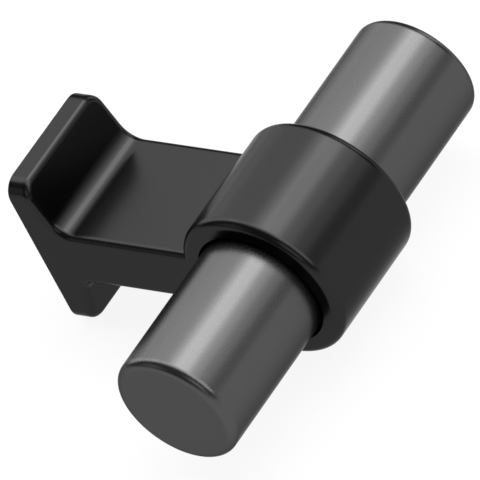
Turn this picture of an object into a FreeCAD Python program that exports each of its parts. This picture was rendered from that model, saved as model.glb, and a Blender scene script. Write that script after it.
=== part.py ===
import FreeCAD, Part
import math
import os

# T-bar cabinet knob, in millimetres: a turned bar held in the collar of a cast post with a flared foot.
# The origin is the mouth of the screw hole, in the middle of the foot's flat back.
# +X runs along the bar, +Y into the furniture that the knob is screwed to, and +Z up.

# Bar
BAR_DIAMETER = 14.0
BAR_LENGTH = 50.0
BAR_END_ROUND = 1.0

# Collar, the ring of the post that the bar passes through
COLLAR_CLEARANCE = 0.05
COLLAR_WALL = 2.45
COLLAR_RIM_ROUND = 1.0
BORE_MOUTH_WIDTH = 0.3
BORE_MOUTH_DEPTH = 0.6

# Post: collar, stem and foot have one width, and the standoff is the free space behind the collar
POST_WIDTH = 15.0
COLLAR_STANDOFF = 19.5
STEM_THICKNESS = 6.8
POST_EDGE_ROUND = 0.8

# Foot, whose two flanges thicken from their tips towards the stem
FOOT_HEIGHT = 20.0
FLANGE_TIP_THICKNESS = 2.3
FLANGE_SLOPE_DEGREES = 15.0
FLANGE_ROOT_ROUND = 2.2
FOOT_CORNER_ROUND = 2.0

# Tapped holes along the stem's middle line, modelled at their core diameters
MOUNT_THREAD_CORE = 3.3
MOUNT_THREAD_DEPTH = 12.0
DRILL_POINT_DEGREES = 118.0
GRUB_THREAD_CORE = 2.5

# Grub screw that clamps the bar, turned by a hexagon key through the mounting hole
GRUB_LENGTH = 6.0
GRUB_CHAMFER = 0.2
GRUB_CLEARANCE = 0.02
KEY_ACROSS_FLATS = 1.5
KEY_DEPTH = 2.0

# Flat-bottomed seat in the bar for the grub screw's point
SEAT_CLEARANCE = 0.3
SEAT_DEPTH = 0.5

# Places that follow from the sizes above
BAR_RADIUS = BAR_DIAMETER / 2
BORE_RADIUS = BAR_RADIUS + COLLAR_CLEARANCE
COLLAR_RADIUS = BORE_RADIUS + COLLAR_WALL
BAR_AXIS_Y = -(COLLAR_STANDOFF + COLLAR_RADIUS)
HALF_WIDTH = POST_WIDTH / 2
GRUB_RADIUS = GRUB_THREAD_CORE / 2 - GRUB_CLEARANCE
SEAT_Y = BAR_AXIS_Y + BAR_RADIUS - SEAT_DEPTH

ALONG_BAR = FreeCAD.Vector(1, 0, 0)
ALONG_STEM = FreeCAD.Vector(0, 1, 0)
BAR_CENTRE = FreeCAD.Vector(0, BAR_AXIS_Y, 0)
SAME_PLACE = 1e-6


# Outlines


def corner_round(before, corner, after, radius):
    """Start, middle and end of the round at a corner, or the bare corner where the radius is 0."""
    if radius == 0:
        return [corner]
    back = (before - corner).normalize()
    ahead = (after - corner).normalize()
    half_angle = back.getAngle(ahead) / 2
    inwards = (back + ahead).normalize()
    reach = radius / math.tan(half_angle)
    middle = corner + inwards * (radius / math.sin(half_angle) - radius)
    return [corner + back * reach, middle, corner + ahead * reach]


def outline_face(corners):
    """Flat face inside the outline whose corners are given in order, each as a point and its radius."""
    stretches = []
    for place, (point, radius) in enumerate(corners):
        before = corners[place - 1][0]
        after = corners[(place + 1) % len(corners)][0]
        stretches.append(corner_round(before, point, after, radius))
    edges = []
    for place, stretch in enumerate(stretches):
        if len(stretch) == 3:
            edges.append(Part.Arc(*stretch).toShape())
        following = stretches[(place + 1) % len(stretches)]
        edges.append(Part.LineSegment(stretch[-1], following[0]).toShape())
    return Part.Face(Part.Wire(edges))


def turned_on_bar(profile):
    """Solid turned about the bar's axis from corners given as x, radius and the round there."""
    corners = [(FreeCAD.Vector(x, BAR_AXIS_Y, radius), round_there) for x, radius, round_there in profile]
    return outline_face(corners).revolve(BAR_CENTRE, ALONG_BAR, 360)


def turned_on_stem(profile):
    """Solid turned about the stem's middle line from corners given as y and radius."""
    corners = [(FreeCAD.Vector(0, y, radius), 0) for y, radius in profile]
    return outline_face(corners).revolve(FreeCAD.Vector(), ALONG_STEM, 360)


def rod_profile(length, radius, end_round):
    """Half section of a rod centred on x = 0, with rounded end edges."""
    return [
        (-length / 2, 0, 0),
        (-length / 2, radius, end_round),
        (length / 2, radius, end_round),
        (length / 2, 0, 0),
    ]


# Bar


def bar():
    rod = turned_on_bar(rod_profile(BAR_LENGTH, BAR_RADIUS, BAR_END_ROUND))
    seat = Part.makeCylinder(
        GRUB_RADIUS + SEAT_CLEARANCE, BAR_RADIUS, FreeCAD.Vector(0, SEAT_Y, 0), ALONG_STEM
    )
    return rod.cut(seat)


# Post


def stem_side_view():
    """Side view of the stem and the foot, from the furniture to the bar's axis."""
    half_foot = FOOT_HEIGHT / 2
    half_stem = STEM_THICKNESS / 2
    rise = half_foot - half_stem
    root = FLANGE_TIP_THICKNESS + rise * math.tan(math.radians(FLANGE_SLOPE_DEGREES))
    upper = [
        (0, half_foot, 0),
        (-FLANGE_TIP_THICKNESS, half_foot, 0),
        (-root, half_stem, FLANGE_ROOT_ROUND),
        (BAR_AXIS_Y, half_stem, 0),
    ]
    lower = [(y, -z, radius) for y, z, radius in reversed(upper)]
    return [(FreeCAD.Vector(-HALF_WIDTH, y, z), radius) for y, z, radius in upper + lower]


def foot_front_view():
    """Front view of the foot, a rectangle with rounded corners."""
    half_foot = FOOT_HEIGHT / 2
    corners = [
        (-HALF_WIDTH, -half_foot),
        (HALF_WIDTH, -half_foot),
        (HALF_WIDTH, half_foot),
        (-HALF_WIDTH, half_foot),
    ]
    return [(FreeCAD.Vector(x, 0, z), FOOT_CORNER_ROUND) for x, z in corners]


def is_room_side(face):
    """True for the faces of the stem and flanges that look at the room, up or down."""
    centre = face.CenterOfMass
    in_middle = abs(centre.x) < SAME_PLACE
    between_ends = BAR_AXIS_Y + SAME_PLACE < centre.y < -SAME_PLACE
    inside_height = abs(centre.z) < FOOT_HEIGHT / 2 - SAME_PLACE
    return in_middle and between_ends and inside_height


def room_side_rim(solid):
    """Edges where the room side of the stem and flanges meets the sides and the flange tips."""
    seen = [edge for face in solid.Faces if is_room_side(face) for edge in face.Edges]
    rim = []
    for edge in seen:
        uses = sum(1 for other in seen if other.isSame(edge))
        at_bar_axis = abs(edge.CenterOfMass.y - BAR_AXIS_Y) < SAME_PLACE
        if uses == 1 and not at_bar_axis:
            rim.append(edge)
    return rim


def stem_and_foot():
    side_prism = outline_face(stem_side_view()).extrude(ALONG_BAR * POST_WIDTH)
    front_prism = outline_face(foot_front_view()).extrude(ALONG_STEM * BAR_AXIS_Y)
    blank = side_prism.common(front_prism)
    return blank.makeFillet(POST_EDGE_ROUND, room_side_rim(blank))


def collar_bore():
    """Space of the bar's bore, widened by a cone at both mouths."""
    inner_end = HALF_WIDTH - BORE_MOUTH_DEPTH
    mouth_radius = BORE_RADIUS + BORE_MOUTH_WIDTH
    return turned_on_bar(
        [
            (-HALF_WIDTH, 0, 0),
            (-HALF_WIDTH, mouth_radius, 0),
            (-inner_end, BORE_RADIUS, 0),
            (inner_end, BORE_RADIUS, 0),
            (HALF_WIDTH, mouth_radius, 0),
            (HALF_WIDTH, 0, 0),
        ]
    )


def tapped_holes():
    """Space of the mounting hole and, behind its drill point, the grub screw's hole."""
    mount_radius = MOUNT_THREAD_CORE / 2
    grub_hole_radius = GRUB_THREAD_CORE / 2
    point = (mount_radius - grub_hole_radius) / math.tan(math.radians(DRILL_POINT_DEGREES / 2))
    return turned_on_stem(
        [
            (0, 0),
            (0, mount_radius),
            (-MOUNT_THREAD_DEPTH, mount_radius),
            (-MOUNT_THREAD_DEPTH - point, grub_hole_radius),
            (BAR_AXIS_Y, grub_hole_radius),
            (BAR_AXIS_Y, 0),
        ]
    )


def post():
    collar = turned_on_bar(rod_profile(POST_WIDTH, COLLAR_RADIUS, COLLAR_RIM_ROUND))
    casting = collar.fuse(stem_and_foot()).removeSplitter()
    return casting.cut(collar_bore()).cut(tapped_holes())


# Grub screw


def key_socket(mouth_y):
    """Space of the hexagon socket, from its mouth towards the bar."""
    corner_radius = KEY_ACROSS_FLATS / 2 / math.cos(math.radians(30))
    corners = []
    for turn in range(6):
        angle = math.radians(60 * turn)
        point = FreeCAD.Vector(corner_radius * math.cos(angle), mouth_y, corner_radius * math.sin(angle))
        corners.append((point, 0))
    return outline_face(corners).extrude(ALONG_STEM * -KEY_DEPTH)


def grub_screw():
    mouth_y = SEAT_Y + GRUB_LENGTH
    body = turned_on_stem(
        [
            (SEAT_Y, 0),
            (SEAT_Y, GRUB_RADIUS - GRUB_CHAMFER),
            (SEAT_Y + GRUB_CHAMFER, GRUB_RADIUS),
            (mouth_y - GRUB_CHAMFER, GRUB_RADIUS),
            (mouth_y, GRUB_RADIUS - GRUB_CHAMFER),
            (mouth_y, 0),
        ]
    )
    return body.cut(key_socket(mouth_y))


def main():
    os.makedirs("parts", exist_ok=True)
    for name, shape in {"bar": bar(), "post": post(), "grub_screw": grub_screw()}.items():
        shape.exportStep(f"parts/{name}.step")


main()
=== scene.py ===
import math

import bpy
from mathutils import Matrix, Vector


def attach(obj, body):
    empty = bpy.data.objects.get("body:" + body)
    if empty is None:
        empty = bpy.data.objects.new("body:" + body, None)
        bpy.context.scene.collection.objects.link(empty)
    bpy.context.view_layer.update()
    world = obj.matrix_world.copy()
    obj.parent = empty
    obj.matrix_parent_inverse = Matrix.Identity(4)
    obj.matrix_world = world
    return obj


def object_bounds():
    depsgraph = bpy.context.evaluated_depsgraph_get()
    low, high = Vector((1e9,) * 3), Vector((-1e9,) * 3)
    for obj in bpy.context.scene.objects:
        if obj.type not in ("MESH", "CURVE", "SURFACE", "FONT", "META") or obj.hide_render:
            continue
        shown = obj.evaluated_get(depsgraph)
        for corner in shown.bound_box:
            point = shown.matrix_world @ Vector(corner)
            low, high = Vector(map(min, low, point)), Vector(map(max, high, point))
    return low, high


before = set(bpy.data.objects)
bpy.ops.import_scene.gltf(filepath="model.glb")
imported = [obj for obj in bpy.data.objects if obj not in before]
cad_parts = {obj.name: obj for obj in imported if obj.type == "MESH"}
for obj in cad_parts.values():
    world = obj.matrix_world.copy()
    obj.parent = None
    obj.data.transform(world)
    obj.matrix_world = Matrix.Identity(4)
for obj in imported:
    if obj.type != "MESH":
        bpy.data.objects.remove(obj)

cad_lowest, cad_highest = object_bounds()

# T-bar cabinet knob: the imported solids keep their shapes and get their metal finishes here.
# The frame's +X runs along the bar, +Y into the furniture and +Z up, in metres.

# Camera, at the photograph's viewing angle
CAMERA_PLACE = (-0.679544, -0.859577, 0.831346)
CAMERA_RIGHT = (0.500797, -0.779439, -0.376400)
CAMERA_UP = (0.707745, 0.118396, 0.696477)
CAMERA_BACK = (-0.498297, -0.615189, 0.610936)
CAMERA_LENS = 1000
CAMERA_SENSOR = 36
CAMERA_REACH = 20

# Finishes of the solids: grey is the metal's colour, edge its share of light kept at grazing angles
FINISHES = {
    "bar_metal": {
        "grey": 0.088,
        "grey_change": 0.03,
        "roughness": 0.27,
        "roughness_change": 0.01,
        "edge": 0.42,
        "cloud_scale": 120,
        "grain_scale": 9000,
        "grain_strength": 0.05,
    },
    "post_metal": {
        "grey": 0.028,
        "grey_change": 0.05,
        "roughness": 0.24,
        "roughness_change": 0.02,
        "edge": 0.57,
        "cloud_scale": 160,
        "grain_scale": 7000,
        "grain_strength": 0.1,
    },
    "screw_steel": {
        "grey": 0.030,
        "grey_change": 0.05,
        "roughness": 0.35,
        "roughness_change": 0.03,
        "edge": 0.65,
        "cloud_scale": 400,
        "grain_scale": 9000,
        "grain_strength": 0.1,
    },
}
NODE_FINISHES = {"bar": "bar_metal", "post": "post_metal", "grub_screw": "screw_steel"}
CLOUD_DETAIL = 3
GRAIN_DETAIL = 2
GRAIN_DEPTH = 0.00002
NOISE_LOW = 0.3
NOISE_HIGH = 0.7

# Thread in the mounting hole: M4, cut to the depth of the hole's straight part
THREAD_PITCH = 0.0007
THREAD_ROOT_RADIUS = 0.00165
THREAD_CREST_RADIUS = 0.00153
THREAD_CREST_WIDTH = 0.00009
THREAD_ROOT_WIDTH = 0.00052
THREAD_START = -0.0004
THREAD_LENGTH = 0.0112
THREAD_STEPS_PER_TURN = 40

# Soft boxes: name, direction from the knob, length along the bar, width across it and power
LAMPS = [
    ("key", (0.454, -0.216, 0.865), 0.45, 0.35, 1.88),
    ("key_wide", (0.454, -0.275, 0.847), 0.45, 0.80, 2),
    ("front", (0.454, -0.585, 0.672), 0.45, 0.69, 0.88),
    ("front_low", (0.454, -0.82, 0.348), 0.45, 0.69, 0.4),
    ("upper_back", (0.454, 0.384, 0.804), 0.45, 0.98, 2.1),
    ("upper_wide", (0.454, 0.466, 0.76), 0.45, 1.24, 1.3),
    ("back", (0.454, 0.865, 0.216), 0.45, 0.45, 1.35),
    ("rim_back", (0.061, 0.827, 0.558), 0.37, 0.88, 2.72),
    ("rim_top", (0.061, 0.035, 0.998), 0.37, 1.12, 3.52),
    ("rim_front", (0.061, -0.776, 0.628), 0.37, 0.84, 2.72),
    ("front_left", (-0.7, -0.55, 0.46), 0.40, 0.45, 0.56),
    ("back_left", (-0.72, 0.55, 0.42), 0.40, 0.45, 0.24),
    ("right", (0.93, -0.1, 0.26), 0.55, 0.40, 1.36),
]
LAMP_DISTANCE = 0.9

# Floor and world; the horizon's two heights are sines of the elevation
FLOOR_HALF_WIDTH = 3.0
FLOOR_COLOUR = (0.8, 0.8, 0.8)
FLOOR_WHITE_SHARE = 0.9
WORLD_LEVEL = 0.16
HORIZON_WHITE_TO = 0.03
HORIZON_FADED_AT = 0.05

ALONG_BAR = Vector((1, 0, 0))
WHITE = (1, 1, 1, 1)


# Camera


def add_camera():
    data = bpy.data.cameras.new("camera")
    data.lens = CAMERA_LENS
    data.sensor_width = CAMERA_SENSOR
    data.clip_end = CAMERA_REACH
    camera = bpy.data.objects.new("camera", data)
    turned = Matrix((CAMERA_RIGHT, CAMERA_UP, CAMERA_BACK)).transposed().to_4x4()
    camera.matrix_world = Matrix.Translation(CAMERA_PLACE) @ turned
    bpy.context.scene.collection.objects.link(camera)
    bpy.context.scene.camera = camera


# Finishes


def noise(material, scale, detail):
    """Noise over the solid's own coordinates; returns its value socket."""
    nodes = material.node_tree.nodes
    place = nodes.new("ShaderNodeTexCoord")
    texture = nodes.new("ShaderNodeTexNoise")
    texture.inputs["Scale"].default_value = scale
    texture.inputs["Detail"].default_value = detail
    material.node_tree.links.new(place.outputs["Object"], texture.inputs["Vector"])
    return texture.outputs["Fac"]


def spread(material, value, low, high):
    """Takes a noise value to the range from low to high."""
    node = material.node_tree.nodes.new("ShaderNodeMapRange")
    node.inputs["From Min"].default_value = NOISE_LOW
    node.inputs["From Max"].default_value = NOISE_HIGH
    node.inputs["To Min"].default_value = low
    node.inputs["To Max"].default_value = high
    material.node_tree.links.new(value, node.inputs["Value"])
    return node.outputs["Result"]


def tone(material, value, grey, change):
    """Grey that gets darker and lighter by a share of itself."""
    darker = grey * (1 - change)
    lighter = grey * (1 + change)
    node = material.node_tree.nodes.new("ShaderNodeMix")
    node.data_type = "RGBA"
    node.inputs["A"].default_value = (darker, darker, darker, 1)
    node.inputs["B"].default_value = (lighter, lighter, lighter, 1)
    material.node_tree.links.new(value, node.inputs["Factor"])
    return node.outputs["Result"]


def metal_finish(name):
    """Satin metal with clouds in its colour and a fine grain in its gloss and surface."""
    values = FINISHES[name]
    material = bpy.data.materials.new(name)
    material.use_nodes = True
    nodes = material.node_tree.nodes
    links = material.node_tree.links
    shader = nodes["Principled BSDF"]
    clouds = noise(material, values["cloud_scale"], CLOUD_DETAIL)
    colour = tone(material, clouds, values["grey"], values["grey_change"])
    links.new(colour, shader.inputs["Base Color"])
    grain = noise(material, values["grain_scale"], GRAIN_DETAIL)
    glossiest = values["roughness"] - values["roughness_change"]
    dullest = values["roughness"] + values["roughness_change"]
    links.new(spread(material, grain, glossiest, dullest), shader.inputs["Roughness"])
    shader.inputs["Metallic"].default_value = 1
    shader.inputs["Specular Tint"].default_value = (values["edge"], values["edge"], values["edge"], 1)
    bump = nodes.new("ShaderNodeBump")
    bump.inputs["Strength"].default_value = values["grain_strength"]
    bump.inputs["Distance"].default_value = GRAIN_DEPTH
    links.new(grain, bump.inputs["Height"])
    links.new(bump.outputs["Normal"], shader.inputs["Normal"])
    return material


# Thread in the mounting hole


def thread_ridge():
    """Helical ridge on the wall of the mounting hole, as one strip of quads."""
    steps = round(THREAD_LENGTH / THREAD_PITCH * THREAD_STEPS_PER_TURN)
    profile = [
        (THREAD_ROOT_RADIUS, -THREAD_ROOT_WIDTH / 2),
        (THREAD_CREST_RADIUS, -THREAD_CREST_WIDTH / 2),
        (THREAD_CREST_RADIUS, THREAD_CREST_WIDTH / 2),
        (THREAD_ROOT_RADIUS, THREAD_ROOT_WIDTH / 2),
    ]
    points = []
    faces = []
    for step in range(steps + 1):
        angle = 2 * math.pi * step / THREAD_STEPS_PER_TURN
        depth = THREAD_START - THREAD_LENGTH * step / steps
        for radius, offset in profile:
            points.append((radius * math.cos(angle), depth + offset, radius * math.sin(angle)))
        if step < steps:
            first = step * len(profile)
            for side in range(len(profile) - 1):
                a = first + side
                faces.append((a, a + 1, a + 1 + len(profile), a + len(profile)))
    mesh = bpy.data.meshes.new("mounting_thread")
    mesh.from_pydata(points, [], faces)
    mesh.polygons.foreach_set("use_smooth", [True] * len(mesh.polygons))
    piece = bpy.data.objects.new("mounting_thread", mesh)
    bpy.context.scene.collection.objects.link(piece)
    return piece


# Studio


def add_lamp(name, direction, length, width, power):
    """Soft box that faces the knob, with its length along the bar."""
    data = bpy.data.lights.new(name, "AREA")
    data.shape = "RECTANGLE"
    data.size = length
    data.size_y = width
    data.energy = power
    lamp = bpy.data.objects.new(name, data)
    towards = Vector(direction).normalized()
    side = towards.cross(ALONG_BAR).normalized()
    along = side.cross(towards)
    turned = Matrix((along, side, towards)).transposed().to_4x4()
    middle = (Vector(cad_lowest) + Vector(cad_highest)) / 2
    lamp.matrix_world = Matrix.Translation(middle + towards * LAMP_DISTANCE) @ turned
    bpy.context.scene.collection.objects.link(lamp)


def seen_directly(nodes, links):
    """1 for camera, glossy and transmission rays, which all see the white floor."""
    path = nodes.new("ShaderNodeLightPath")
    total = path.outputs["Is Camera Ray"]
    for name in ("Is Glossy Ray", "Is Transmission Ray"):
        either = nodes.new("ShaderNodeMath")
        either.operation = "MAXIMUM"
        links.new(total, either.inputs[0])
        links.new(path.outputs[name], either.inputs[1])
        total = either.outputs[0]
    return total


def floor_surface():
    """Matt surface that is mostly plain white to the rays that see it directly."""
    material = bpy.data.materials.new("floor")
    material.use_nodes = True
    nodes = material.node_tree.nodes
    links = material.node_tree.links
    nodes.clear()
    output = nodes.new("ShaderNodeOutputMaterial")
    matt = nodes.new("ShaderNodeBsdfDiffuse")
    matt.inputs["Color"].default_value = (*FLOOR_COLOUR, 1)
    white = nodes.new("ShaderNodeEmission")
    share = nodes.new("ShaderNodeMath")
    share.operation = "MULTIPLY"
    share.inputs[1].default_value = FLOOR_WHITE_SHARE
    links.new(seen_directly(nodes, links), share.inputs[0])
    mix = nodes.new("ShaderNodeMixShader")
    links.new(share.outputs[0], mix.inputs["Fac"])
    links.new(matt.outputs[0], mix.inputs[1])
    links.new(white.outputs[0], mix.inputs[2])
    links.new(mix.outputs[0], output.inputs["Surface"])
    return material


def add_floor():
    """White floor under the knob that still takes its soft shadow."""
    half = FLOOR_HALF_WIDTH
    level = cad_lowest[2]
    corners = [(-half, -half, level), (half, -half, level), (half, half, level), (-half, half, level)]
    mesh = bpy.data.meshes.new("floor")
    mesh.from_pydata(corners, [], [(0, 1, 2, 3)])
    mesh.materials.append(floor_surface())
    floor = bpy.data.objects.new("floor", mesh)
    bpy.context.scene.collection.objects.link(floor)


def add_world():
    """Dim even sky that is white along the horizon, where it carries on from the floor."""
    world = bpy.data.worlds.new("studio")
    world.use_nodes = True
    nodes = world.node_tree.nodes
    links = world.node_tree.links
    place = nodes.new("ShaderNodeTexCoord")
    parts = nodes.new("ShaderNodeSeparateXYZ")
    links.new(place.outputs["Generated"], parts.inputs[0])
    fade = nodes.new("ShaderNodeMapRange")
    fade.inputs["From Min"].default_value = HORIZON_WHITE_TO
    fade.inputs["From Max"].default_value = HORIZON_FADED_AT
    fade.inputs["To Min"].default_value = 1
    fade.inputs["To Max"].default_value = WORLD_LEVEL
    links.new(parts.outputs["Z"], fade.inputs["Value"])
    sky = nodes["Background"]
    sky.inputs["Color"].default_value = WHITE
    links.new(fade.outputs["Result"], sky.inputs["Strength"])
    bpy.context.scene.world = world


# Making

add_camera()
finishes = {name: metal_finish(name) for name in FINISHES}
for node, name in NODE_FINISHES.items():
    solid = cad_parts[node]
    solid.data.materials.clear()
    solid.data.materials.append(finishes[name])

thread = thread_ridge()
thread.data.materials.append(finishes["post_metal"])
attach(thread, "root")

for lamp in LAMPS:
    add_lamp(*lamp)
add_floor()
add_world()
bpy.context.scene.view_settings.view_transform = "Standard"
